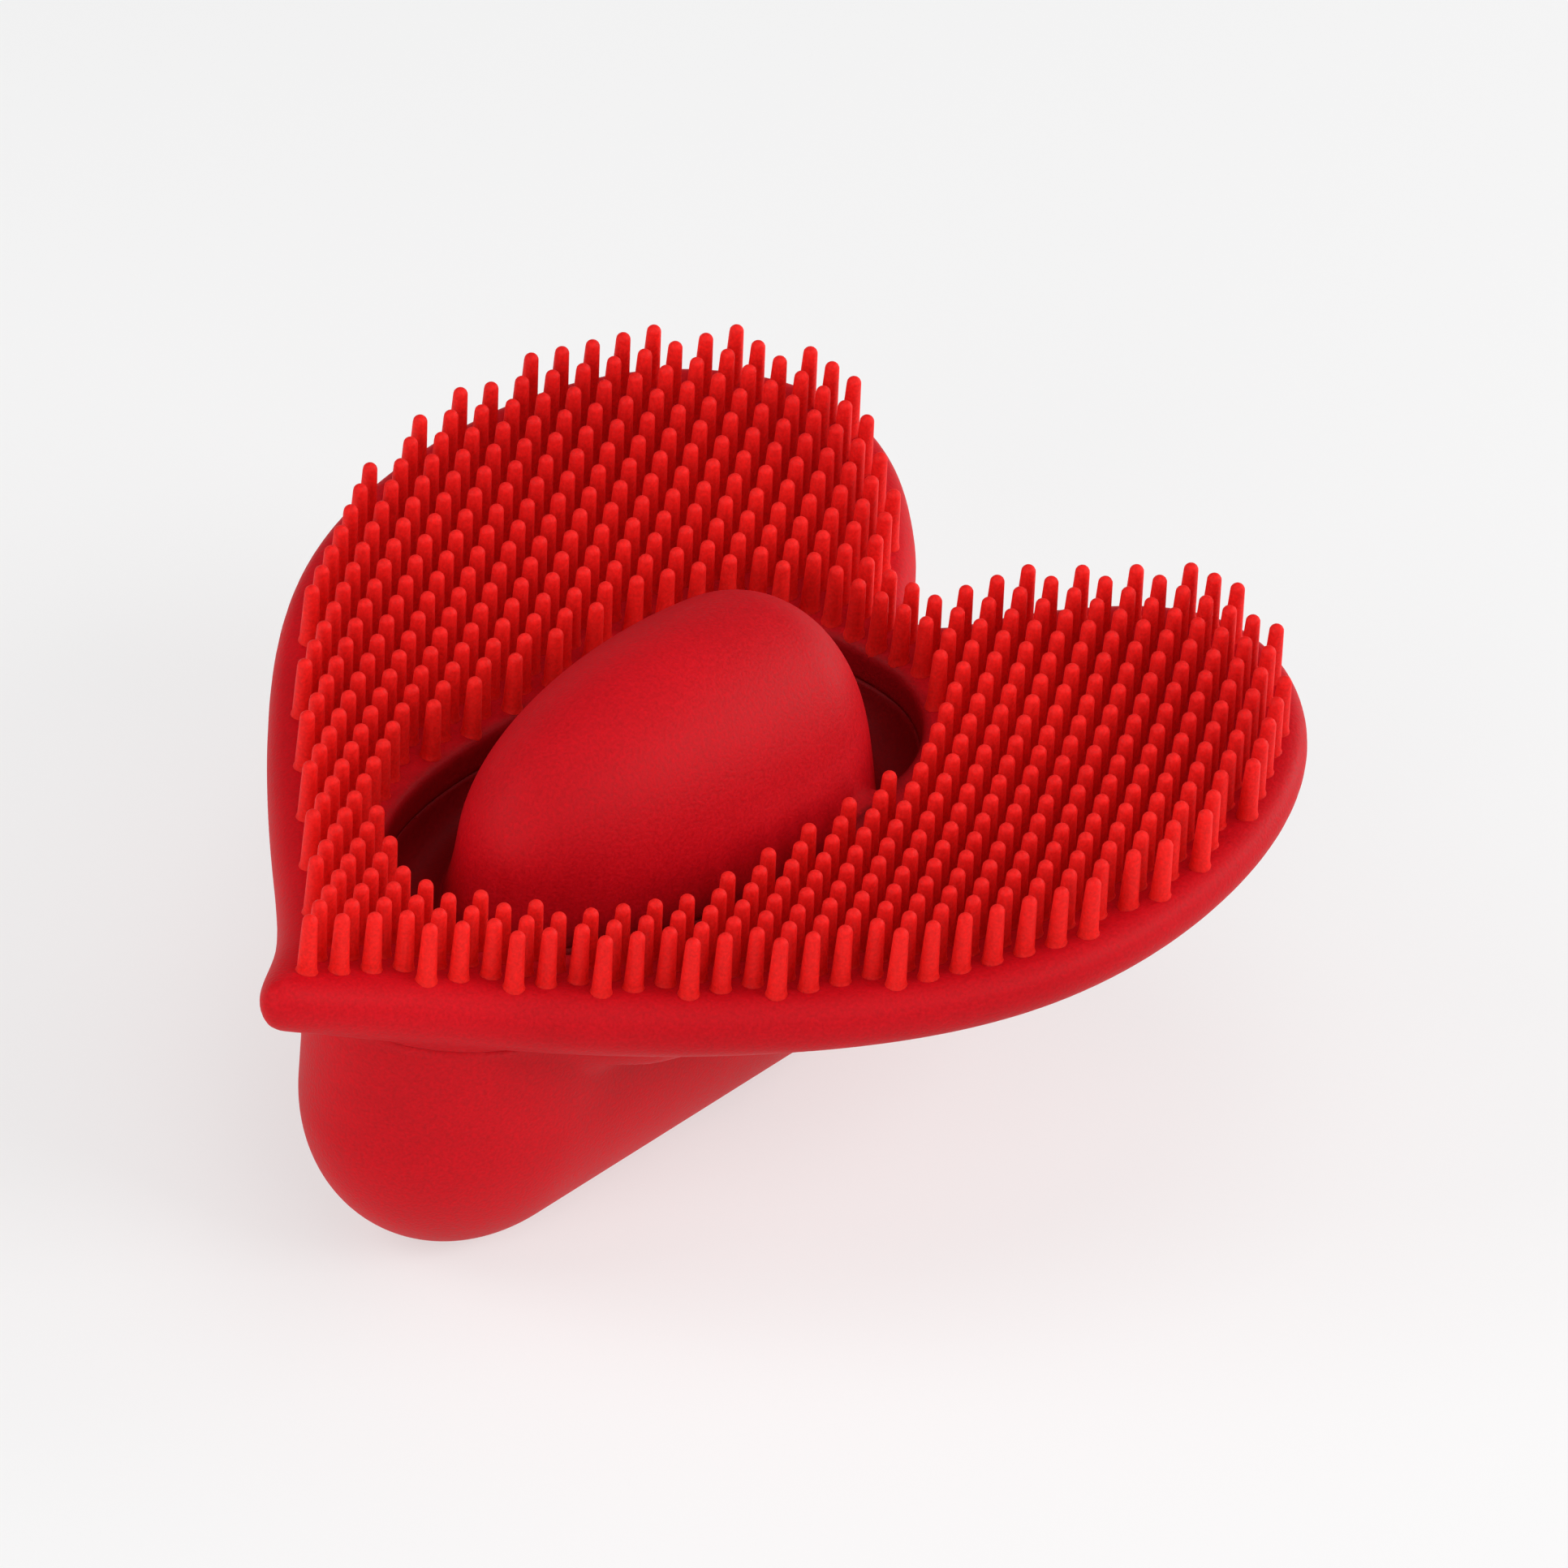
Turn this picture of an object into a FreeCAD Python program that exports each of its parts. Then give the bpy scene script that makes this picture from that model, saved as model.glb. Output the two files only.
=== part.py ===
import FreeCAD, Part
import math
import os

os.makedirs("parts", exist_ok=True)

# Heart-shaped silicone curry brush: a dished heart pad full of bristles, with a raised
# egg in a basin at its middle and a grip bar under it.  Millimetres.
# +Z runs along the bristles, -Y to the heart's point, +Y to its two lobes; the brush is
# mirror-symmetric in X.  The origin is under the middle of the brush, on the flat of the
# grip that it rests on.

# ---- driving dimensions ----
BRISTLE_PITCH = 3.0          # between bristles in a row, and between rows
DISH_Y = -4.0                # where the dished face is lowest
FACE_Z = 36.0                # height of the face there
DISH_R = 240.0               # radius of the dished face
SKIN_T = 2.0                 # silicone wall on both faces
PAD_T = 9.0                  # whole thickness of the pad inside its edge
RIM_T = 6.9                  # at its edge
WELL_T = 13.2                # and round the basin
RIM_WALL = 4.5               # silicone round the pad's edge; the rear skin begins inside it
STEP_IN = 9.5                # from the outline to the thick middle of the core plate

# right half of the heart's outline, from the notch round the lobe to the point
OUTLINE = [(0.0, 39.2), (5.1, 44.0), (10.8, 50.0), (16.5, 54.1), (25.8, 56.6), (43.1, 47.5),
           (52.1, 24.7), (49.0, 0.7), (35.5, -19.4), (18.2, -37.1), (7.2, -48.6), (3.9, -53.6),
           (0.0, -57.6)]

BASIN_Y = -1.3               # middle of the oval basin
BASIN_HALF_W = 18.6
BASIN_HALF_L = 32.2
BASIN_DEPTH = 8.0            # below the dished face
PLATE_WALL = 1.2             # core plate round and under the basin

EGG_Y = 9.5                  # thickest section of the egg
EGG_Z = 34.65
EGG_HALF_W = 15.3
EGG_HALF_H = 18.8
EGG_FRONT = 37.1             # from the thickest section to the slender end
EGG_BACK = 14.0              # and to the blunt end
EGG_TILT = -9.4              # degrees about X
EGG_SKIN = 2.0
FORMER_GAP = 0.2
FORMER_WALL = 2.6

BRISTLE_H = 6.4              # above the face
BRISTLE_FOOT_R = 1.0
BRISTLE_TIP_R = 0.7
BRISTLE_ROOT = 0.6           # sunk in the face, so that no gap shows on the slope
BRISTLE_EDGE = 2.66          # from a bristle's axis to the outline, at least
CLEAR_HALF_W = 19.424        # no bristle stands inside this oval round the basin
CLEAR_HALF_L = 33.082
CLEAR_POWER = 2.385          # a little squarer than an ellipse
CLEAR_Y = -1.211
FIRST_ROW = -16              # rows counted from the dish's lowest point
LAST_ROW = 19
MAX_COLUMN = 18

GRIP_HALF_W = 14.8
GRIP_R = 18.6                # depth radius of the grip, and radius of its round ends
GRIP_AXIS_Z = 17.1           # below this the grip is round, above it its walls are upright
GRIP_FRONT_Y = -27.0         # centres of the two round ends
GRIP_BACK_Y = 17.0
GRIP_SKIN = 2.0
GRIP_CORE_WALL = 2.4

KEEL_HALF_T = 1.5            # rib under the core plate that the grip's halves clamp
KEEL_BOTTOM_Z = 12.0
KEEL_FRONT_Y = -33.0
KEEL_BACK_Y = 24.0
SPLIT_GAP = 0.1              # from the keel to each grip half

SCREW_R = 1.5
SCREW_CORE_R = 1.25
HEAD_R = 2.8
HEAD_H = 1.8
BOSS_R = 3.6
GRIP_SCREW_Z = 17.4
GRIP_SCREW_YS = (-24.0, -4.5, 15.0)
DOWEL_R = 1.5
DOWEL_YS = (-30.0, 21.0)
DOWEL_LENGTH = 14.0
FORMER_SCREW_X = 6.5
FORMER_SCREW_YS = (-7.0, 13.0)
FORMER_SCREW_LENGTH = 10.0

TOP = 62.0                   # above everything
EDGE_SAMPLES = 601           # points on half the outline, for distances from it
INSET_STEP = 25              # every so many of them carries a point of an inset outline
DISH_CENTRE = FreeCAD.Vector(0, DISH_Y, FACE_Z + DISH_R)


# ---- helpers ----
def vec(x, y, z=0.0):
    return FreeCAD.Vector(x, y, z)


def export(node, shape):
    shape.exportStep("parts/" + node + ".step")
    print(node, "solids", len(shape.Solids), "valid", shape.isValid(), "volume", round(shape.Volume))


def half_outline():
    """The right half of the outline as one smooth curve from the notch to the point."""
    curve = Part.BSplineCurve()
    curve.interpolate(Points=[vec(x, y) for x, y in OUTLINE],
                      InitialTangent=vec(1, 0), FinalTangent=vec(-1, 0))
    return curve.toShape()


def inset_half(inset):
    """Points of the right half of a line that runs inside the outline at a constant distance."""
    fine = half_outline().discretize(Number=EDGE_SAMPLES)

    def clearance(point):
        return min((point - p).Length for p in fine)

    points = [fine[0] - vec(0, inset)]
    for k in range(INSET_STEP, EDGE_SAMPLES - 1, INSET_STEP):
        along = fine[k + 1] - fine[k - 1]
        inward = vec(along.y, -along.x).normalize()
        point = fine[k] + inward * inset
        if point.x > inset / 2 and clearance(point) > inset - 0.02:
            points.append(point)
    low, high = OUTLINE[-1][1], points[-1].y
    for _ in range(30):
        middle = (low + high) / 2
        if clearance(vec(0, middle)) < inset:
            low = middle
        else:
            high = middle
    return points + [vec(0, low)]


def outline_wire(inset=0.0):
    """The heart, or a smaller one inside it, as two mirrored curves."""
    if inset:
        curve = Part.BSplineCurve()
        curve.interpolate(Points=inset_half(inset))
        half = curve.toShape()
    else:
        half = half_outline()
    return Part.Wire(Part.__sortEdges__([half, half.mirror(vec(0, 0), vec(1, 0))]))


def heart_prism(inset=0.0):
    return Part.Face(outline_wire(inset)).extrude(vec(0, 0, TOP))


def ball(radius):
    """A sphere about the dish's centre; its poles lie far from the brush."""
    return Part.makeSphere(radius, DISH_CENTRE, vec(0, 1, 0))


def pad_layer(inset, inner_r, outer_r):
    """A heart-shaped sheet that follows the dish between two radii."""
    return heart_prism(inset).common(ball(outer_r)).cut(ball(inner_r))


def oval_prism(outside):
    """An upright oval, this far outside the basin's wall."""
    half_w = BASIN_HALF_W + outside
    half_l = BASIN_HALF_L + outside
    disc = Part.Face(Part.Wire(Part.Ellipse(vec(0, 0), half_l, half_w).toShape()))
    disc.rotate(vec(0, 0), vec(0, 0, 1), 90)
    disc.translate(vec(0, BASIN_Y))
    return disc.extrude(vec(0, 0, TOP))


def well(outside, inset, outer_r):
    """Everything above one radius in an oval round the basin, short of the heart's edge."""
    return oval_prism(outside).common(heart_prism(inset)).common(ball(outer_r))


def scaled(shape, x=1.0, y=1.0, z=1.0):
    matrix = FreeCAD.Matrix()
    matrix.scale(x, y, z)
    return shape.transformGeometry(matrix)


def egg(inset):
    """Two half ellipsoids on one oval section, long towards the heart's point."""
    back = Part.makeSphere(1.0, vec(0, 0), vec(0, 1, 0), 0, 90, 360)
    front = Part.makeSphere(1.0, vec(0, 0), vec(0, -1, 0), 0, 90, 360)
    half_w = EGG_HALF_W - inset
    half_h = EGG_HALF_H - inset
    body = scaled(back, half_w, EGG_BACK - inset, half_h).fuse(
        scaled(front, half_w, EGG_FRONT - inset, half_h))
    body.rotate(vec(0, 0), vec(1, 0, 0), EGG_TILT)
    body.translate(vec(0, EGG_Y, EGG_Z))
    return body


def grip_form(inset):
    """The grip bar: round underneath and at both ends, upright walls above, a flat to rest on."""
    radius = GRIP_R - inset
    length = GRIP_BACK_Y - GRIP_FRONT_Y
    form = Part.makeCylinder(radius, length, vec(0, GRIP_FRONT_Y, GRIP_AXIS_Z), vec(0, 1, 0))
    height = TOP - GRIP_AXIS_Z
    walls = Part.makeBox(2 * radius, length, height, vec(-radius, GRIP_FRONT_Y, GRIP_AXIS_Z))
    for y in (GRIP_FRONT_Y, GRIP_BACK_Y):
        form = form.fuse(Part.makeSphere(radius, vec(0, y, GRIP_AXIS_Z), vec(0, 0, 1)))
        walls = walls.fuse(Part.makeCylinder(radius, height, vec(0, y, GRIP_AXIS_Z)))
    form = scaled(form.fuse(walls), x=(GRIP_HALF_W - inset) / radius)
    below = Part.makeBox(80, 120, 20, vec(-40, -60, inset - 20))
    return form.cut(below)


def side_screw(y):
    """A pan-head screw along X, its head in the left half of the grip."""
    head = Part.makeCylinder(HEAD_R, HEAD_H, vec(-8.2, y, GRIP_SCREW_Z), vec(1, 0, 0))
    shank = Part.makeCylinder(SCREW_R, 14.0, vec(-6.4, y, GRIP_SCREW_Z), vec(1, 0, 0))
    return head.fuse(shank)


def former_screw(x, y):
    """A pan-head screw up through the core plate's floor into the egg former."""
    plate_under = DISH_CENTRE.z - math.sqrt(WELL_BACK_R ** 2 - x * x - (y - DISH_Y) ** 2)
    head = Part.makeCylinder(HEAD_R, HEAD_H, vec(x, y, plate_under - HEAD_H - 0.1))
    shank = Part.makeCylinder(SCREW_R, FORMER_SCREW_LENGTH, vec(x, y, plate_under - 0.1))
    return head.fuse(shank)


FORMER_SCREW_SPOTS = [(side * FORMER_SCREW_X, y) for side in (-1, 1) for y in FORMER_SCREW_YS]
FACE_BACK_R = DISH_R + SKIN_T
RIM_BACK_R = DISH_R + RIM_T
EDGE_BACK_R = RIM_BACK_R - SKIN_T
PLATE_BACK_R = DISH_R + PAD_T - SKIN_T
WELL_BACK_R = DISH_R + WELL_T - SKIN_T
FLOOR_TOP_R = DISH_R + BASIN_DEPTH
FLOOR_BACK_R = FLOOR_TOP_R + SKIN_T


def basin_space():
    """The basin with its silicone wall and floor."""
    return oval_prism(SKIN_T).common(ball(FLOOR_BACK_R))


def plate_well():
    """The core plate's own wall and floor round the basin, with the basin."""
    return well(SKIN_T + PLATE_WALL, STEP_IN, WELL_BACK_R)


# ---- silicone skins ----
def front_skin():
    """The bristled face, the pad's edge, the basin and the skin of the egg, moulded in one."""
    skin = pad_layer(0, DISH_R, RIM_BACK_R).cut(pad_layer(RIM_WALL, FACE_BACK_R, RIM_BACK_R + 1.0))
    skin = skin.fuse(basin_space().cut(ball(DISH_R)))
    skin = skin.cut(oval_prism(0).common(ball(FLOOR_TOP_R)))
    dome = egg(0).common(ball(FLOOR_BACK_R))
    return skin.fuse(dome).cut(egg(EGG_SKIN))


def rear_skin():
    """The back of the pad and the sleeve of the grip, moulded in one."""
    sheet = pad_layer(RIM_WALL, EDGE_BACK_R, RIM_BACK_R).fuse(
        pad_layer(STEP_IN - SKIN_T, EDGE_BACK_R, DISH_R + PAD_T))
    bulge = well(2 * SKIN_T + PLATE_WALL, RIM_WALL, DISH_R + WELL_T).cut(ball(EDGE_BACK_R))
    sheet = sheet.fuse(bulge).cut(pad_layer(STEP_IN, EDGE_BACK_R - 1.0, PLATE_BACK_R))
    sleeve = grip_form(0).cut(ball(RIM_BACK_R))
    hollow = grip_form(GRIP_SKIN).cut(ball(PLATE_BACK_R - 1.0))
    return sheet.fuse(sleeve).cut(hollow).cut(plate_well()).cut(basin_space())


# ---- stiff core ----
def core_plate():
    """Heart plate, thinner along its edge, with a recess for the basin and a keel for the grip."""
    plate = pad_layer(RIM_WALL, FACE_BACK_R, EDGE_BACK_R).fuse(
        pad_layer(STEP_IN, FACE_BACK_R, PLATE_BACK_R))
    plate = plate.fuse(plate_well().cut(ball(FACE_BACK_R))).cut(basin_space())
    keel = Part.makeBox(2 * KEEL_HALF_T, KEEL_BACK_Y - KEEL_FRONT_Y, TOP,
                        vec(-KEEL_HALF_T, KEEL_FRONT_Y, KEEL_BOTTOM_Z))
    plate = plate.fuse(keel.cut(ball(WELL_BACK_R - 0.5)))
    for x, y in FORMER_SCREW_SPOTS:
        plate = plate.cut(Part.makeCylinder(SCREW_R + 0.1, TOP, vec(x, y, 0)))
    for y in GRIP_SCREW_YS:
        plate = plate.cut(Part.makeCylinder(SCREW_R + 0.1, 10, vec(-5, y, GRIP_SCREW_Z), vec(1, 0, 0)))
    for y in DOWEL_YS:
        plate = plate.cut(Part.makeCylinder(DOWEL_R + 0.05, 10, vec(-5, y, GRIP_SCREW_Z), vec(1, 0, 0)))
    return plate


def bulb_former():
    """Hollow egg under the silicone, on the core plate's floor, with four screw bosses."""
    outer = egg(EGG_SKIN + FORMER_GAP).common(ball(FLOOR_BACK_R))
    inner = egg(EGG_SKIN + FORMER_GAP + FORMER_WALL).common(ball(FLOOR_BACK_R))
    former = outer.cut(inner)
    for x, y in FORMER_SCREW_SPOTS:
        boss = Part.makeCylinder(BOSS_R, TOP, vec(x, y, 0)).common(outer)
        former = former.fuse(boss)
    for x, y in FORMER_SCREW_SPOTS:
        base = FACE_Z - WELL_T
        former = former.cut(Part.makeCylinder(SCREW_CORE_R, FORMER_SCREW_LENGTH + 6, vec(x, y, base)))
    return former


def grip_core(side):
    """One half of the stiff shell inside the grip, with bosses that meet the keel."""
    outer = grip_form(GRIP_SKIN).cut(ball(PLATE_BACK_R)).cut(plate_well())
    inner = grip_form(GRIP_SKIN + GRIP_CORE_WALL).cut(ball(PLATE_BACK_R))
    start = KEEL_HALF_T + SPLIT_GAP
    half_space = Part.makeBox(40, 120, TOP, vec(start if side > 0 else -start - 40, -60, 0))
    core = outer.cut(inner)
    for y in GRIP_SCREW_YS + DOWEL_YS:
        boss = Part.makeCylinder(BOSS_R, 40, vec(-20, y, GRIP_SCREW_Z), vec(1, 0, 0))
        core = core.fuse(boss.common(outer))
    core = core.common(half_space)
    for y in GRIP_SCREW_YS:
        if side > 0:
            pilot = Part.makeCylinder(SCREW_CORE_R, 8, vec(0, y, GRIP_SCREW_Z), vec(1, 0, 0))
            core = core.cut(pilot)
        else:
            core = core.cut(Part.makeCylinder(SCREW_R + 0.1, 8, vec(-8, y, GRIP_SCREW_Z), vec(1, 0, 0)))
            core = core.cut(Part.makeCylinder(HEAD_R + 0.2, 12, vec(-18.4, y, GRIP_SCREW_Z), vec(1, 0, 0)))
    for y in DOWEL_YS:
        hole = Part.makeCylinder(DOWEL_R, DOWEL_LENGTH, vec(-DOWEL_LENGTH / 2, y, GRIP_SCREW_Z), vec(1, 0, 0))
        core = core.cut(hole)
    return core


# ---- bristles ----
def bristle():
    """A tapered bristle with a round tip, standing on z = 0."""
    height = BRISTLE_ROOT + BRISTLE_H
    shoulder = height - BRISTLE_TIP_R
    rounding = Part.Arc(vec(BRISTLE_TIP_R, 0, shoulder),
                        vec(BRISTLE_TIP_R * math.sqrt(0.5), 0, shoulder + BRISTLE_TIP_R * math.sqrt(0.5)),
                        vec(0, 0, height)).toShape()
    edges = [Part.makeLine(vec(0, 0, 0), vec(BRISTLE_FOOT_R, 0, 0)),
             Part.makeLine(vec(BRISTLE_FOOT_R, 0, 0), vec(BRISTLE_TIP_R, 0, shoulder)),
             rounding,
             Part.makeLine(vec(0, 0, height), vec(0, 0, 0))]
    return Part.Face(Part.Wire(edges)).revolve(vec(0, 0, 0), vec(0, 0, 1), 360)


def bristle_spots():
    """Staggered rows that fill the heart, short of its edge and outside the basin."""
    wire = outline_wire()
    face = Part.Face(wire)
    edge_points = wire.discretize(Number=2 * EDGE_SAMPLES)
    spots = []
    for row in range(FIRST_ROW, LAST_ROW + 1):
        y = DISH_Y + row * BRISTLE_PITCH
        for column in range(-MAX_COLUMN, MAX_COLUMN + 1):
            x = (column + 0.5 * (row % 2)) * BRISTLE_PITCH
            across = abs(x / CLEAR_HALF_W) ** CLEAR_POWER
            along = abs((y - CLEAR_Y) / CLEAR_HALF_L) ** CLEAR_POWER
            if across + along < 1 or not face.isInside(vec(x, y), 0.01, False):
                continue
            if min(math.hypot(x - p.x, y - p.y) for p in edge_points) >= BRISTLE_EDGE:
                spots.append((x, y))
    return spots


def bristle_group(spots):
    one = bristle()
    solids = []
    for x, y in spots:
        foot_z = DISH_CENTRE.z - math.sqrt(DISH_R ** 2 - x * x - (y - DISH_Y) ** 2)
        copy = one.copy()
        copy.translate(vec(x, y, foot_z - BRISTLE_ROOT))
        solids.append(copy)
    return Part.makeCompound(solids)


# ---- write every piece ----
export("front_skin", front_skin())
export("rear_skin", rear_skin())
export("core_plate", core_plate())
export("bulb_former", bulb_former())
export("grip_core_left", grip_core(-1))
export("grip_core_right", grip_core(1))
export("former_screws", Part.makeCompound([former_screw(x, y) for x, y in FORMER_SCREW_SPOTS]))
export("grip_screws", Part.makeCompound([side_screw(y) for y in GRIP_SCREW_YS]))
export("grip_dowels", Part.makeCompound([
    Part.makeCylinder(DOWEL_R, DOWEL_LENGTH, vec(-DOWEL_LENGTH / 2, y, GRIP_SCREW_Z), vec(1, 0, 0))
    for y in DOWEL_YS]))

spots = bristle_spots()
lobes_from = BASIN_Y + 5.0
export("bristles_left_lobe", bristle_group([s for s in spots if s[0] < 0 and s[1] > lobes_from]))
export("bristles_right_lobe", bristle_group([s for s in spots if s[0] > 0 and s[1] > lobes_from]))
export("bristles_left_flank", bristle_group([s for s in spots if s[0] < 0 and s[1] <= lobes_from]))
export("bristles_right_flank", bristle_group([s for s in spots if s[0] > 0 and s[1] <= lobes_from]))
export("bristles_centre_line", bristle_group([s for s in spots if s[0] == 0]))
print("bristles", len(spots))
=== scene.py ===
import math

import bmesh
import bpy
import numpy as np
from mathutils import Matrix, Vector
from mathutils.kdtree import KDTree


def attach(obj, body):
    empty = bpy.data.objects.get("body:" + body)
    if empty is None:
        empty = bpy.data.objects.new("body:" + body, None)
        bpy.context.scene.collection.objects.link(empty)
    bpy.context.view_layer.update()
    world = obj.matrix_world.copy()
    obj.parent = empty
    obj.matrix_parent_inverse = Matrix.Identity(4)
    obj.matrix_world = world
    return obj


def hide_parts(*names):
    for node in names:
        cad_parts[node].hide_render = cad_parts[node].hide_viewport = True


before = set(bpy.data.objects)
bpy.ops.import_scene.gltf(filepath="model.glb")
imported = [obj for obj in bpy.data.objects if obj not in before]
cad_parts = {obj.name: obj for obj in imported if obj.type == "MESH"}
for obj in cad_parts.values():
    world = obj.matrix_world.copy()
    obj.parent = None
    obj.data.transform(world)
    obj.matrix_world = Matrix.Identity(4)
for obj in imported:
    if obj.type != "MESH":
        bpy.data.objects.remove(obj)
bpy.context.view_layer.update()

# Heart-shaped silicone curry brush.  Every size below is in millimetres, in the frame of the
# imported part: +Z along the bristles, -Y to the heart's point, origin under the grip's flat.
MM = 0.001

# ---- pad ----
OUTLINE = [(0.0, 39.2), (5.1, 44.0), (10.8, 50.0), (16.5, 54.1), (25.8, 56.6), (43.1, 47.5),
           (52.1, 24.7), (49.0, 0.7), (35.5, -19.4), (18.2, -37.1), (7.2, -48.6), (3.9, -53.6),
           (0.0, -57.6)]
DISH_Y = -4.0                # where the dished face is lowest
FACE_Z = 36.0                # height of the face there
DISH_R = 240.0               # radius of the dished face
DISH_CENTRE = np.array([0.0, DISH_Y, FACE_Z + DISH_R])
RIM_R = 3.65                 # round edge of the pad
LOBE_SLIM = 0.70             # by how much less at the sides of the lobes
LOBE_X = 50.0
TIP_SLIM = 0.6               # and at the heart's point
TIP_FROM = 44.0              # which starts this far forward
TIP_FADE = 12.0
PAD_T = 9.0                  # thickness of the pad inside the edge
THICKENING = 6.0             # width over which it grows to that
WELL_T = 13.2                # thickness of the pad round and under the basin
WELL_HALF_W = 26.4           # oval within which the pad grows to that
WELL_HALF_L = 40.0
WELL_SPREAD = 4.5
WELL_IN = 6.0                # and only this far inside the outline
WELL_FADE = 5.0
SKIN_T = 2.0                 # wall of the two silicone skins
SEAM_IN = 4.5                # the skins meet under the pad, this far in from its outline
SEAM_LIP = 0.35              # half width of the groove where they meet
SEAM_DEPTH = 0.15

# ---- basin and egg ----
BASIN_Y = -1.3
BASIN_HALF_W = 18.5
BASIN_HALF_L = 32.1
BASIN_POWER = 2.4            # a little squarer than an ellipse
BASIN_DEPTH = 8.0
BASIN_LIP = 1.0              # how softly the face turns down into the basin
BASIN_CORNER = 6.0           # how softly its wall turns into its floor
SHADE_FROM = 0.2             # painted shade: the basin's silicone is drawn darker from this depth down
SHADE_FULL = 4.0
SHADE_OUT = 1.6              # and from this far outside the oval
SHADE_LIP = 2.4
SHADE_OFF_EGG = 2.5
EGG_CENTRE = (0.0, 9.5, 34.65)
EGG_HALF_W = 14.7
EGG_HALF_H = 18.8
EGG_FRONT = 37.1
EGG_BACK = 13.6
EGG_TILT = math.radians(-9.4)
EGG_FILLET = 7.0             # how softly the egg grows out of the basin

# ---- grip ----
GRIP_HALF_W = 14.8
GRIP_R = 18.6
GRIP_AXIS_Z = 17.1
GRIP_FRONT_Y = -27.0
GRIP_BACK_Y = 17.0
GRIP_FILLET = 2.0            # where the grip meets the back of the pad
FLAT_EDGE = 1.5              # softness of the edge of the flat it rests on

# ---- bristles ----
PITCH = 3.0
BRISTLE_H = 6.65
FOOT_R = 1.0
TIP_R = 0.72
ROOT = 0.5
FLARE = 0.14                 # how far the foot spreads
FLARE_H = 0.7
FOOT_DROP = 0.9              # how far a foot on the basin's lip reaches down
BRISTLE_SIDES = 16

CELL = 0.7                   # spacing of the skins' mesh

# ---- materials ----
BODY_TINT = ((0.48, 0.002, 0.007, 1.0), (0.56, 0.003, 0.009, 1.0))
BODY_GLOW = 0.25             # share of the light that passes through the silicone
# painted glow: the bristles are the body's silicone, drawn brighter for the light that passes through
# them
BRISTLE_LIT_TINT = ((0.70, 0.010, 0.009, 1.0), (0.80, 0.015, 0.012, 1.0))
BRISTLE_GLOW = 0.4
BASIN_SHADE_VALUE = 0.42           # how bright the painted shade leaves the silicone at the bottom of the basin
GLOSS = 0.15
GRAIN = 3000.0               # moulded grain, per metre
GRAIN_H = 0.10
CORE_TONE = (0.55, 0.54, 0.5)
STEEL_TONE = (0.62, 0.63, 0.66)

# ---- floor, light and camera ----
FLOOR_SIDE = 6.0             # half the floor's side, metres
FLOOR_TONE = 0.35
FLOOR_GLOW = 0.56
SKY = 0.22
LIGHT_AIM = (0.0, 0.0, 35.0)
LIGHT_DISTANCE = 900.0
LIGHT_SIDE = 500.0
LIGHTS = (("left", -40, 35, 2.4),          # name, azimuth, elevation, watts
          ("front", 10, 20, 2.4),
          ("middle", 60, 45, 1.2),
          ("right", 110, 35, 3.6),
          ("rear", 160, 15, 4.0),
          ("top", 0, 90, 1.2))
CAMERA_TURN = (38.267, 35.717, 5.304)      # azimuth, elevation and roll
CAMERA_DISTANCE = 1200.27
CAMERA_LENS = 279.5
CAMERA_AIM = (11.61, 4.38, 41.46)


# ---------------------------------------------------------------- outline
def outline_loop(per_span=60):
    """The heart as a closed smooth curve through its points and their mirror images."""
    right = np.array(OUTLINE)
    knots = np.vstack([right, (right * (-1, 1))[-2:0:-1]])
    ahead = np.roll(knots, -1, axis=0)
    step = np.linalg.norm(ahead - knots, axis=1)
    count = len(knots)
    system = np.zeros((count, count))
    for i in range(count):
        system[i, i - 1] = step[i - 1]
        system[i, i] = 2 * (step[i - 1] + step[i])
        system[i, (i + 1) % count] = step[i]
    slope = (ahead - knots) / step[:, None]
    bend = np.linalg.solve(system, 6 * (slope - np.roll(slope, 1, axis=0)))
    t = (np.arange(per_span) / per_span)[None, :, None]
    h = step[:, None, None]
    a, b = knots[:, None], ahead[:, None]
    m, n = bend[:, None], np.roll(bend, -1, axis=0)[:, None]
    curve = a * (1 - t) + b * t - h * h / 6 * ((2 * t - 3 * t ** 2 + t ** 3) * m + (t - t ** 3) * n)
    return curve.reshape(-1, 2)


LOOP = outline_loop()
LOOP_TREE = KDTree(len(LOOP))
for k, (loop_x, loop_y) in enumerate(LOOP):
    LOOP_TREE.insert((loop_x, loop_y, 0.0), k)
LOOP_TREE.balance()
LOOP_ALONG = np.roll(LOOP, -1, axis=0) - np.roll(LOOP, 1, axis=0)
LOOP_ALONG /= np.linalg.norm(LOOP_ALONG, axis=1)[:, None]
LOOP_INWARD = np.column_stack([LOOP_ALONG[:, 1], -LOOP_ALONG[:, 0]])


def edge_distance(x, y):
    """Distance in plan from the heart's outline, positive inside it."""
    near = np.array([LOOP_TREE.find((px, py, 0.0))[1] for px, py in zip(x, y)])
    away = np.column_stack([x, y]) - LOOP[near]
    across = (away * LOOP_INWARD[near]).sum(axis=1)
    best = np.full(len(x), np.inf)
    for other in (1, -1):
        span = np.roll(LOOP, -other, axis=0)[near] - LOOP[near]
        share = np.clip((away * span).sum(axis=1) / (span ** 2).sum(axis=1), 0, 1)
        best = np.minimum(best, np.linalg.norm(away - share[:, None] * span, axis=1))
    return np.copysign(best, across)


# ---------------------------------------------------------------- solid shape as a field
def soft_min(a, b, k):
    """The smaller of two fields, with the crease between them rounded over a width k."""
    blend = np.clip(k - np.abs(a - b), 0, None) / k
    return np.minimum(a, b) - blend ** 2 * k / 4


def soft_max(a, b, k):
    return -soft_min(-a, -b, k)


def smooth_step(t):
    t = np.clip(t, 0, 1)
    return t * t * (3 - 2 * t)


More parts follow.
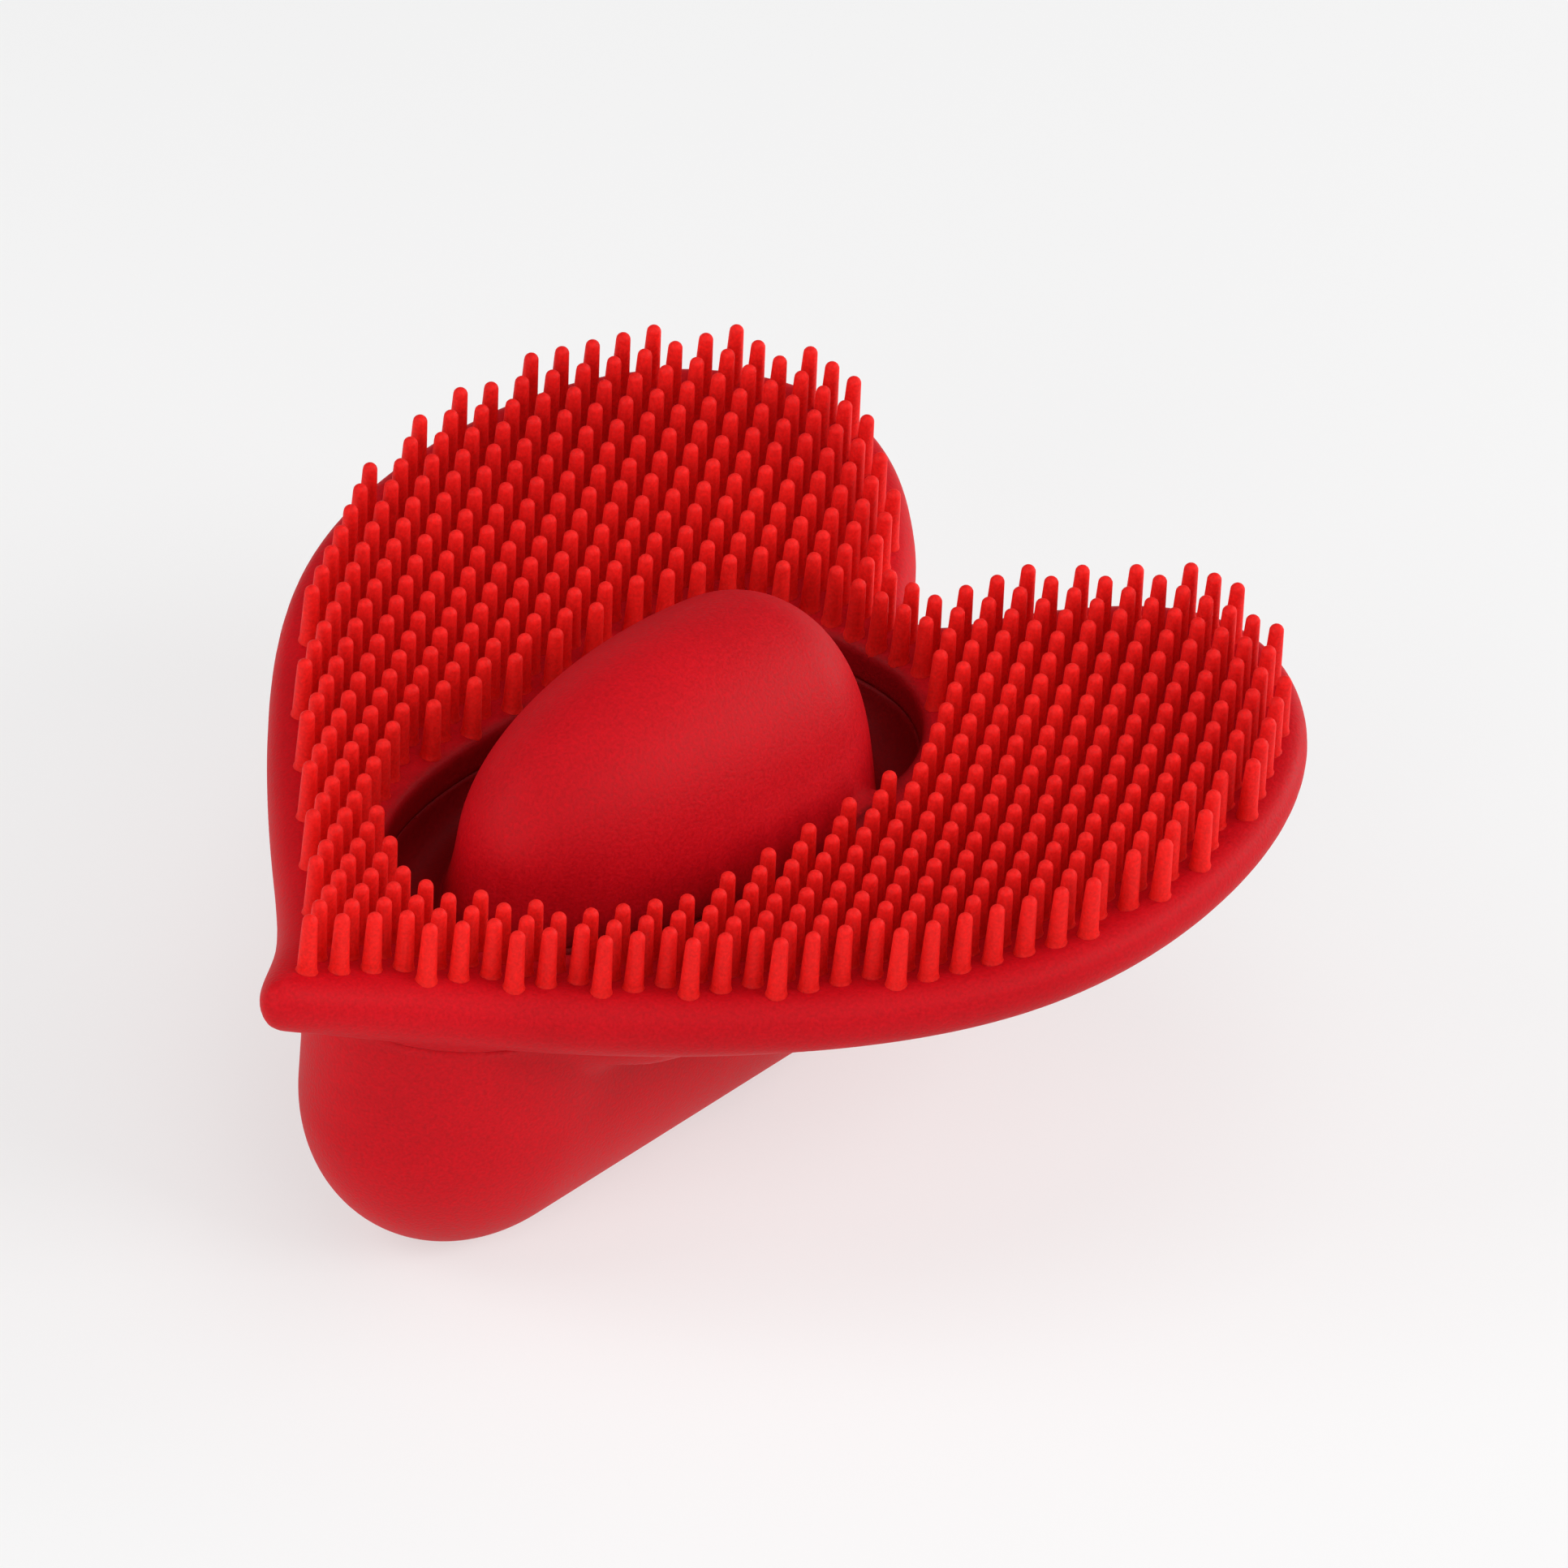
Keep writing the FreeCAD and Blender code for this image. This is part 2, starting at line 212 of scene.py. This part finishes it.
def ellipsoid(u, v, w, sizes):
    """About the distance from an ellipsoid, from coordinates along its axes."""
    scaled = np.sqrt((u / sizes[0]) ** 2 + (v / sizes[1]) ** 2 + (w / sizes[2]) ** 2)
    twice = np.sqrt((u / sizes[0] ** 2) ** 2 + (v / sizes[1] ** 2) ** 2 + (w / sizes[2] ** 2) ** 2)
    return scaled * (scaled - 1) / np.maximum(twice, 1e-9)


def depth_under_face(x, y, z):
    return np.sqrt(x ** 2 + (y - DISH_Y) ** 2 + (z - DISH_CENTRE[2]) ** 2) - DISH_R


def rim_radius(x, y):
    at_lobe = (x / LOBE_X) ** 2
    at_tip = smooth_step((-y - TIP_FROM) / TIP_FADE)
    return RIM_R - LOBE_SLIM * at_lobe - TIP_SLIM * at_tip


def oval_distance(x, y, half_w, half_l, power=2.0):
    """About the distance in plan from an oval round the middle of the basin, negative inside."""
    u, v = np.abs(x) / half_w, np.abs(y - BASIN_Y) / half_l
    share = np.maximum(u ** power + v ** power, 1e-9) ** (1 / power)
    return (share - 1) * np.hypot(x, y - BASIN_Y) / share


def pad_field(x, y, edge, depth):
    """A dished sheet with a round edge, thicker inside and most of all round the basin."""
    radius = rim_radius(x, y)
    inside = smooth_step((edge - radius) / THICKENING)
    in_well = (smooth_step(-oval_distance(x, y, WELL_HALF_W, WELL_HALF_L) / WELL_SPREAD)
               * smooth_step((edge - WELL_IN) / WELL_FADE))
    thick = PAD_T + (WELL_T - PAD_T) * in_well
    half = radius + (thick / 2 - radius) * inside
    sheet = np.abs(depth - half) - half
    rim = np.hypot(edge - radius, depth - radius) - radius
    return np.where(edge > radius, sheet, rim)


def basin_field(x, y, depth):
    """The hollow above the basin's floor, open upwards."""
    wall = oval_distance(x, y, BASIN_HALF_W, BASIN_HALF_L, BASIN_POWER)
    return soft_max(wall, depth - BASIN_DEPTH, BASIN_CORNER)


def egg_field(x, y, z):
    """Two half ellipsoids on one section; below its widest line the egg doesn't turn under."""
    c, s = math.cos(EGG_TILT), math.sin(EGG_TILT)
    v = c * (y - EGG_CENTRE[1]) + s * (z - EGG_CENTRE[2])
    w = np.maximum(-s * (y - EGG_CENTRE[1]) + c * (z - EGG_CENTRE[2]), 0)
    front = ellipsoid(x, v, w, (EGG_HALF_W, EGG_FRONT, EGG_HALF_H))
    back = ellipsoid(x, v, w, (EGG_HALF_W, EGG_BACK, EGG_HALF_H))
    return np.where(v < 0, front, back)


def grip_field(x, y, z):
    """The grip bar, its walls upright above its axis, cut flat underneath."""
    beyond = y - np.clip(y, GRIP_FRONT_Y, GRIP_BACK_Y)
    below = np.minimum(z - GRIP_AXIS_Z, 0)
    bar = ellipsoid(x, beyond, below, (GRIP_HALF_W, GRIP_R, GRIP_R))
    return soft_max(bar, -z, FLAT_EDGE)


def body_field(x, y, z, edge):
    depth = depth_under_face(x, y, z)
    # the grip stops below the face, and the egg in the pad
    grip = np.maximum(grip_field(x, y, z), PAD_T / 2 - depth)
    body = soft_min(pad_field(x, y, edge, depth), grip, GRIP_FILLET)
    body = soft_max(body, -basin_field(x, y, depth), BASIN_LIP)
    egg = np.maximum(egg_field(x, y, z), depth - BASIN_DEPTH - 1)
    return soft_min(body, egg, EGG_FILLET)


def field_at(points):
    x, y, z = points.T
    return body_field(x, y, z, edge_distance(x, y))


def gradient_at(points, reach=0.05):
    """Gradient of the field, from points either side."""
    slopes = []
    for axis in range(3):
        offset = np.zeros(3)
        offset[axis] = reach
        slopes.append((field_at(points + offset) - field_at(points - offset)) / (2 * reach))
    return np.column_stack(slopes)


def onto_surface(points, rounds=3):
    for _ in range(rounds):
        slope = gradient_at(points)
        move = field_at(points)[:, None] * slope / np.maximum((slope ** 2).sum(axis=1), 0.05)[:, None]
        longest = np.maximum(np.linalg.norm(move, axis=1), 1e-9)
        points = points - move * np.minimum(1, CELL / longest)[:, None]
    return points


def surface_net(values, low):
    """Points and quads of the surface where the gridded values change sign."""
    inside = values < 0
    shape = np.array(values.shape)
    total = np.zeros(shape - 1, int)
    for i in (0, 1):
        for j in (0, 1):
            for k in (0, 1):
                total += inside[i:shape[0] - 1 + i, j:shape[1] - 1 + j, k:shape[2] - 1 + k]
    active = (total > 0) & (total < 8)
    number = np.full(active.shape, -1)
    number[active] = np.arange(active.sum())
    points = low + (np.argwhere(active) + 0.5) * CELL
    quads = []
    for axis in range(3):
        ahead = np.diff(inside.astype(np.int8), axis=axis)
        edges = np.argwhere(ahead)
        u, v = (axis + 1) % 3, (axis + 2) % 3
        edges = edges[(edges[:, u] > 0) & (edges[:, v] > 0)]
        edges = edges[(edges[:, u] < shape[u] - 1) & (edges[:, v] < shape[v] - 1)]
        corners = []
        for du, dv in ((0, 0), (1, 0), (1, 1), (0, 1)):
            cell = edges.copy()
            cell[:, u] -= du
            cell[:, v] -= dv
            corners.append(number[tuple(cell.T)])
        quad = np.column_stack(corners)
        entering = ahead[tuple(edges.T)] > 0
        quad[entering] = quad[entering][:, ::-1]
        quads.append(quad)
    return points, np.vstack(quads)


def relaxed(points, quads, rounds=4):
    """Evens out the quads by sliding each point towards its neighbours along the surface."""
    a = np.concatenate([quads[:, k] for k in range(4)])
    b = np.concatenate([quads[:, (k + 1) % 4] for k in range(4)])
    count = np.bincount(a, minlength=len(points)) + np.bincount(b, minlength=len(points))
    for _ in range(rounds):
        mean = np.column_stack([
            np.bincount(a, points[b, k], len(points)) + np.bincount(b, points[a, k], len(points))
            for k in range(3)]) / count[:, None]
        points = onto_surface(points + 0.5 * (mean - points), 1)
    return points


def body_mesh():
    """The outside of both skins together, as one closed surface."""
    reach = np.abs(LOOP).max(axis=0) + 2 * CELL
    low = np.array([-reach[0], -reach[1], -2 * CELL])
    high = np.array([reach[0], reach[1], 60.0])
    axes = [np.arange(low[k], high[k], CELL) for k in range(3)]
    plan_x, plan_y = np.meshgrid(axes[0], axes[1], indexing="ij")
    plan = edge_distance(plan_x.ravel(), plan_y.ravel()).reshape(plan_x.shape)
    x, y, z = np.meshgrid(*axes, indexing="ij", sparse=True)
    shape = tuple(len(a) for a in axes)
    x, y, z = (np.broadcast_to(a, shape) for a in (x, y, z))
    values = body_field(x, y, z, np.broadcast_to(plan[:, :, None], shape))
    points, quads = surface_net(values, low)
    points = onto_surface(points)
    return relaxed(points, quads), quads


def cut_along(points, faces, level):
    """Splits the faces along the line where level (one value per point) is zero."""
    bm = bmesh.new()
    verts = [bm.verts.new(p) for p in points]
    for face in faces:
        bm.faces.new([verts[k] for k in face])
    bm.verts.index_update()
    value = dict(zip(verts, level))
    for v in verts:
        if abs(value[v]) < 0.05 * CELL:
            value[v] = 0.0
    on_line = [v for v in verts if value[v] == 0.0]
    for edge in [e for e in bm.edges if value[e.verts[0]] * value[e.verts[1]] < 0]:
        a, b = edge.verts
        share = value[a] / (value[a] - value[b])
        added = bmesh.utils.edge_split(edge, a, share)[1]
        value[added] = 0.0
        on_line.append(added)
    bmesh.ops.connect_verts(bm, verts=on_line)
    bm.verts.index_update()
    points = np.array([v.co for v in bm.verts])
    faces = [[v.index for v in f.verts] for f in bm.faces]
    bm.free()
    return points, faces


def seam_level(points):
    """Negative on the front skin, positive on the rear one: they meet under the pad's edge."""
    x, y, z = points.T
    depth = depth_under_face(x, y, z)
    under_pad = np.minimum(edge_distance(x, y) - SEAM_IN, depth - RIM_R)
    on_grip = depth - 2 * rim_radius(x, y) - GRIP_FILLET / 2
    return np.maximum(under_pad, on_grip)


def closed_skin(points, faces, inward):
    """A wall of even thickness behind the given faces, closed at their open edge."""
    used = np.unique(np.concatenate([np.array(f) for f in faces]))
    place = np.full(len(points), -1)
    place[used] = np.arange(len(used))
    outer = points[used]
    inner = outer + inward[used] * SKIN_T
    front = [[int(place[k]) for k in face] for face in faces]
    count = len(used)
    rear = [[k + count for k in reversed(face)] for face in front]
    half_edges = {(face[k - 1], face[k]) for face in front for k in range(len(face))}
    rim = [[b, a, a + count, b + count] for a, b in half_edges if (b, a) not in half_edges]
    return np.vstack([outer, inner]), front + rear + rim


def painted_basin_shade(points):
    """How much painted shade each point has: none on the face, all of it at the basin's floor."""
    x, y, z = points.T
    depth = depth_under_face(x, y, z)
    wall = oval_distance(x, y, BASIN_HALF_W, BASIN_HALF_L, BASIN_POWER)
    down = smooth_step((depth - SHADE_FROM) / (SHADE_FULL - SHADE_FROM))
    # painted shade also on the lip just outside the oval, but not close to the egg
    lip = smooth_step((SHADE_OUT - wall) / SHADE_LIP) * (egg_field(x, y, z) > SHADE_OFF_EGG)
    return np.maximum(down, lip) * (wall < SHADE_OUT) * (depth < BASIN_DEPTH + 0.5)


def new_piece(name, points, faces, material, slot, *nodes):
    """A smooth-shaded mesh object that stands for the named nodes."""
    mesh = bpy.data.meshes.new(name)
    mesh.from_pydata((np.asarray(points) * MM).tolist(), [], faces)
    mesh.shade_smooth()
    mesh.materials.append(material)
    piece = bpy.data.objects.new(name, mesh)
    bpy.context.scene.collection.objects.link(piece)
    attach(piece, "root")
    if nodes:
        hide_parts(*nodes)
    return piece


def make_skins(face_material, back_material):
    points, quads = body_mesh()
    faces = quads.tolist()
    for shift in (-SEAM_LIP, SEAM_LIP, 0.0):
        points, faces = cut_along(points, faces, seam_level(points) - shift)
    slope = gradient_at(points)
    inward = -slope / np.linalg.norm(slope, axis=1)[:, None]
    level = seam_level(points)
    groove = np.clip(1 - np.abs(level) / SEAM_LIP, 0, 1)
    points = points + inward * (SEAM_DEPTH * groove)[:, None]
    middle = np.array([level[f].mean() for f in faces])
    for name, side, material, slot, node in (
            ("silicone_front_skin", middle < 0, face_material, "silicone_face", "front_skin"),
            ("silicone_rear_skin", middle >= 0, back_material, "silicone_back", "rear_skin")):
        chosen = [f for f, keep in zip(faces, side) if keep]
        skin = new_piece(name, *closed_skin(points, chosen, inward), material, slot, node)
        # painted shade for the basin, stored on each point as the hollow attribute
        shade = skin.data.attributes.new("hollow", "FLOAT", "POINT")
        spots = np.array([v.co for v in skin.data.vertices]) / MM
        shade.data.foreach_set("value", painted_basin_shade(spots))


# ---------------------------------------------------------------- bristles
def face_height(x, y):
    return DISH_CENTRE[2] - np.sqrt(DISH_R ** 2 - x ** 2 - (y - DISH_Y) ** 2)


def bristle_profile():
    """(radius, height above the face, how much it follows the face's slope) from root to tip."""
    profile = [(FOOT_R + FLARE, -ROOT, 1.0)]
    for share in (0.0, 0.12, 0.28, 0.5, 0.75, 1.0):
        height = FLARE_H * share
        shaft = FOOT_R + (TIP_R - FOOT_R) * height / BRISTLE_H
        profile.append((shaft + FLARE * (1 - share) ** 2.2, height - 0.02, 1 - share))
    shoulder = BRISTLE_H - TIP_R
    for share in (0.5, 1.0):
        height = FLARE_H + (shoulder - FLARE_H) * share
        profile.append((FOOT_R + (TIP_R - FOOT_R) * height / BRISTLE_H, height, 0.0))
    shoulder_r = profile[-1][0]
    for angle in (0.3, 0.6, 0.9, 1.2):
        profile.append((shoulder_r * math.cos(angle), shoulder + TIP_R * math.sin(angle), 0.0))
    return profile


def bristle_spots(node):
    """Foot of each bristle of a node, from where its points lie on the lattice."""
    spots = set()
    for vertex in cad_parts[node].data.vertices:
        row = round((vertex.co.y / MM - DISH_Y) / PITCH)
        column = round(vertex.co.x / MM / PITCH - 0.5 * (row % 2))
        spots.add((column + 0.5 * (row % 2), row))
    return [(x * PITCH, DISH_Y + row * PITCH) for x, row in sorted(spots)]


def surface_height(x, y):
    """Height of the moulded surface above each place near the face."""
    edge = edge_distance(x, y)
    z = face_height(x, y)
    for _ in range(12):
        z = z - np.clip(body_field(x, y, z, edge), -0.3, 0.3)
    return z


def bristle_mesh(spots):
    turns = np.arange(BRISTLE_SIDES) * 2 * math.pi / BRISTLE_SIDES
    ring = np.column_stack([np.cos(turns), np.sin(turns)])
    profile = bristle_profile()
    points, faces = [], []
    spots = np.array(spots)
    feet = face_height(spots[:, 0], spots[:, 1])
    rings = [[spot + radius * ring for radius, _, follow in profile if follow > 0] for spot in spots]
    around = np.array(rings)
    heights = surface_height(around[..., 0].ravel(), around[..., 1].ravel()).reshape(around.shape[:3])
    heights = np.maximum(heights, feet[:, None, None] - FOOT_DROP)
    middle = heights[:, 0].mean(axis=1)
    for spot, foot, low, ground in zip(spots, feet, middle, heights):
        start = sum(len(p) for p in points)
        for level, (radius, height, follow) in enumerate(profile):
            level_z = np.full(BRISTLE_SIDES, foot + height)
            if follow > 0:
                level_z = follow * (ground[level] + height) + (1 - follow) * level_z
            points.append(np.column_stack([spot + radius * ring, level_z]))
        points.append(np.array([[*spot, foot + BRISTLE_H], [*spot, low - ROOT]]))
        top = start + len(profile) * BRISTLE_SIDES
        for k in range(BRISTLE_SIDES):
            ahead = (k + 1) % BRISTLE_SIDES
            for level in range(len(profile) - 1):
                a = start + level * BRISTLE_SIDES
                b = a + BRISTLE_SIDES
                faces.append([a + k, a + ahead, b + ahead, b + k])
            last = top - BRISTLE_SIDES
            faces.append([last + k, last + ahead, top])
            faces.append([start + ahead, start + k, top + 1])
    return np.vstack(points), faces


def make_bristles(material):
    for node in sorted(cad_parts):
        if node.startswith("bristles"):
            points, faces = bristle_mesh(bristle_spots(node))
            new_piece("silicone_" + node, points, faces, material, "silicone_bristle", node)


# ---------------------------------------------------------------- materials
def mapped(nodes, links, value, low, high):
    """The output of a node that spreads a 0-1 value over a range."""
    spread = nodes.new("ShaderNodeMapRange")
    spread.inputs["To Min"].default_value = low
    spread.inputs["To Max"].default_value = high
    links.new(value, spread.inputs["Value"])
    return spread.outputs["Result"]


def noise(nodes, links, where, scale, detail):
    grain = nodes.new("ShaderNodeTexNoise")
    grain.inputs["Scale"].default_value = scale
    grain.inputs["Detail"].default_value = detail
    links.new(where, grain.inputs["Vector"])
    return grain.outputs["Fac"]


def silicone(name, deep, light, glow):
    """Matte translucent silicone: slow drifts of colour, a fine moulded grain, a dull gloss, and
    painted shade where the hollow attribute is set.
    """
    material = bpy.data.materials.new(name)
    material.use_nodes = True
    nodes, links = material.node_tree.nodes, material.node_tree.links
    shader = nodes["Principled BSDF"]
    where = nodes.new("ShaderNodeTexCoord").outputs["Object"]
    drift = noise(nodes, links, where, 40.0, 3.0)
    grain = noise(nodes, links, where, GRAIN, 2.0)
    tint = nodes.new("ShaderNodeValToRGB")
    tint.color_ramp.elements[0].position = 0.35
    tint.color_ramp.elements[0].color = deep
    tint.color_ramp.elements[1].position = 0.65
    tint.color_ramp.elements[1].color = light
    links.new(drift, tint.inputs["Fac"])
    mottled = nodes.new("ShaderNodeHueSaturation")
    links.new(mapped(nodes, links, grain, 0.68, 1.32), mottled.inputs["Value"])
    links.new(tint.outputs["Color"], mottled.inputs["Color"])
    # painted shade: the colour is darkened where the hollow attribute is set, most at the basin's
    # floor
    hollow = nodes.new("ShaderNodeAttribute")
    hollow.attribute_name = "hollow"
    shaded = nodes.new("ShaderNodeHueSaturation")
    links.new(mapped(nodes, links, hollow.outputs["Fac"], 1.0, BASIN_SHADE_VALUE), shaded.inputs["Value"])
    links.new(mottled.outputs["Color"], shaded.inputs["Color"])
    links.new(shaded.outputs["Color"], shader.inputs["Base Color"])
    links.new(mapped(nodes, links, grain, 0.40, 0.72), shader.inputs["Roughness"])
    bump = nodes.new("ShaderNodeBump")
    bump.inputs["Strength"].default_value = 0.5
    bump.inputs["Distance"].default_value = GRAIN_H * MM
    links.new(grain, bump.inputs["Height"])
    links.new(bump.outputs["Normal"], shader.inputs["Normal"])
    shader.inputs["IOR"].default_value = 1.42
    shader.inputs["Specular IOR Level"].default_value = GLOSS
    shader.inputs["Subsurface Weight"].default_value = glow
    shader.inputs["Subsurface Radius"].default_value = (1.0, 0.12, 0.08)
    shader.inputs["Subsurface Scale"].default_value = 1.2 * MM
    return material


def plain(name, colour, metallic, low, high, scale):
    """Moulded plastic or machined steel: fine unevenness in roughness and height."""
    material = bpy.data.materials.new(name)
    material.use_nodes = True
    nodes, links = material.node_tree.nodes, material.node_tree.links
    shader = nodes["Principled BSDF"]
    where = nodes.new("ShaderNodeTexCoord").outputs["Object"]
    grain = noise(nodes, links, where, scale, 2.0)
    tint = nodes.new("ShaderNodeValToRGB")
    tint.color_ramp.elements[0].color = tuple(0.85 * c for c in colour) + (1.0,)
    tint.color_ramp.elements[1].color = tuple(colour) + (1.0,)
    links.new(grain, tint.inputs["Fac"])
    links.new(tint.outputs["Color"], shader.inputs["Base Color"])
    links.new(mapped(nodes, links, grain, low, high), shader.inputs["Roughness"])
    bump = nodes.new("ShaderNodeBump")
    bump.inputs["Strength"].default_value = 0.2
    bump.inputs["Distance"].default_value = 0.05 * MM
    links.new(grain, bump.inputs["Height"])
    links.new(bump.outputs["Normal"], shader.inputs["Normal"])
    shader.inputs["Metallic"].default_value = metallic
    return material


def finish_cad_nodes():
    """The stiff core and its fasteners keep their CAD shape, with finished materials."""
    core = plain("core_plastic", CORE_TONE, 0.0, 0.4, 0.55, 900.0)
    steel = plain("zinc_steel", STEEL_TONE, 1.0, 0.25, 0.4, 1500.0)
    for node in ("core_plate", "bulb_former", "grip_core_left", "grip_core_right",
                 "former_screws", "grip_screws", "grip_dowels"):
        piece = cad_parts[node]
        piece.data.materials.clear()
        piece.data.materials.append(steel if node.endswith(("screws", "dowels")) else core)


# ---------------------------------------------------------------- floor, light and camera
def make_floor():
    mesh = bpy.data.meshes.new("floor")
    corners = [(u * FLOOR_SIDE, v * FLOOR_SIDE, 0) for u, v in ((-1, -1), (1, -1), (1, 1), (-1, 1))]
    mesh.from_pydata(corners, [], [(0, 1, 2, 3)])
    floor = bpy.data.objects.new("floor", mesh)
    bpy.context.scene.collection.objects.link(floor)
    material = bpy.data.materials.new("pale_floor")
    material.use_nodes = True
    shader = material.node_tree.nodes["Principled BSDF"]
    shader.inputs["Base Color"].default_value = (FLOOR_TONE, FLOOR_TONE, FLOOR_TONE, 1)
    shader.inputs["Roughness"].default_value = 0.9
    shader.inputs["Specular IOR Level"].default_value = 0.1
    shader.inputs["Emission Color"].default_value = (1, 1, 1, 1)
    shader.inputs["Emission Strength"].default_value = FLOOR_GLOW
    mesh.materials.append(material)


def soft_box(name, azimuth, elevation, watts):
    """A square light that faces the middle of the brush."""
    light = bpy.data.lights.new(name, "AREA")
    light.shape = "RECTANGLE"
    light.size = light.size_y = LIGHT_SIDE * MM
    light.energy = watts
    box = bpy.data.objects.new(name, light)
    bpy.context.scene.collection.objects.link(box)
    a, e = math.radians(azimuth), math.radians(elevation)
    back = Vector((math.sin(a) * math.cos(e), -math.cos(a) * math.cos(e), math.sin(e)))
    box.location = (Vector(LIGHT_AIM) + back * LIGHT_DISTANCE) * MM
    box.rotation_mode = "QUATERNION"
    box.rotation_quaternion = (-back).to_track_quat("-Z", "Y")


def make_light():
    world = bpy.data.worlds.new("studio")
    bpy.context.scene.world = world
    world.use_nodes = True
    sky = world.node_tree.nodes["Background"]
    sky.inputs["Color"].default_value = (1, 1, 1, 1)
    sky.inputs["Strength"].default_value = SKY
    for light in LIGHTS:
        soft_box(*light)
    bpy.context.scene.view_settings.view_transform = "Standard"


def make_camera():
    """Long lens, looking down on the heart from its right, with a slight roll."""
    azimuth, elevation, roll = (math.radians(v) for v in CAMERA_TURN)
    back = Vector((math.sin(azimuth) * math.cos(elevation),
                   -math.cos(azimuth) * math.cos(elevation), math.sin(elevation)))
    level = Vector((math.cos(azimuth), math.sin(azimuth), 0))
    upright = back.cross(level)
    right = math.cos(roll) * level + math.sin(roll) * upright
    up = math.cos(roll) * upright - math.sin(roll) * level
    camera = bpy.data.objects.new("camera", bpy.data.cameras.new("camera"))
    bpy.context.scene.collection.objects.link(camera)
    eye = Vector(CAMERA_AIM) * MM + back * CAMERA_DISTANCE * MM
    turn = Matrix((right, up, back)).transposed()
    camera.matrix_world = Matrix.Translation(eye) @ turn.to_4x4()
    camera.data.sensor_width = 36.0
    camera.data.lens = CAMERA_LENS
    camera.data.clip_end = 20.0
    bpy.context.scene.camera = camera


# ---------------------------------------------------------------- the brush and its studio
make_skins(silicone("red_silicone_face", *BODY_TINT, BODY_GLOW),
           silicone("red_silicone_back", *BODY_TINT, BODY_GLOW))
# the bristles' material carries the painted glow of light through them
make_bristles(silicone("red_silicone_bristle", *BRISTLE_LIT_TINT, BRISTLE_GLOW))
finish_cad_nodes()
make_floor()
make_light()
make_camera()
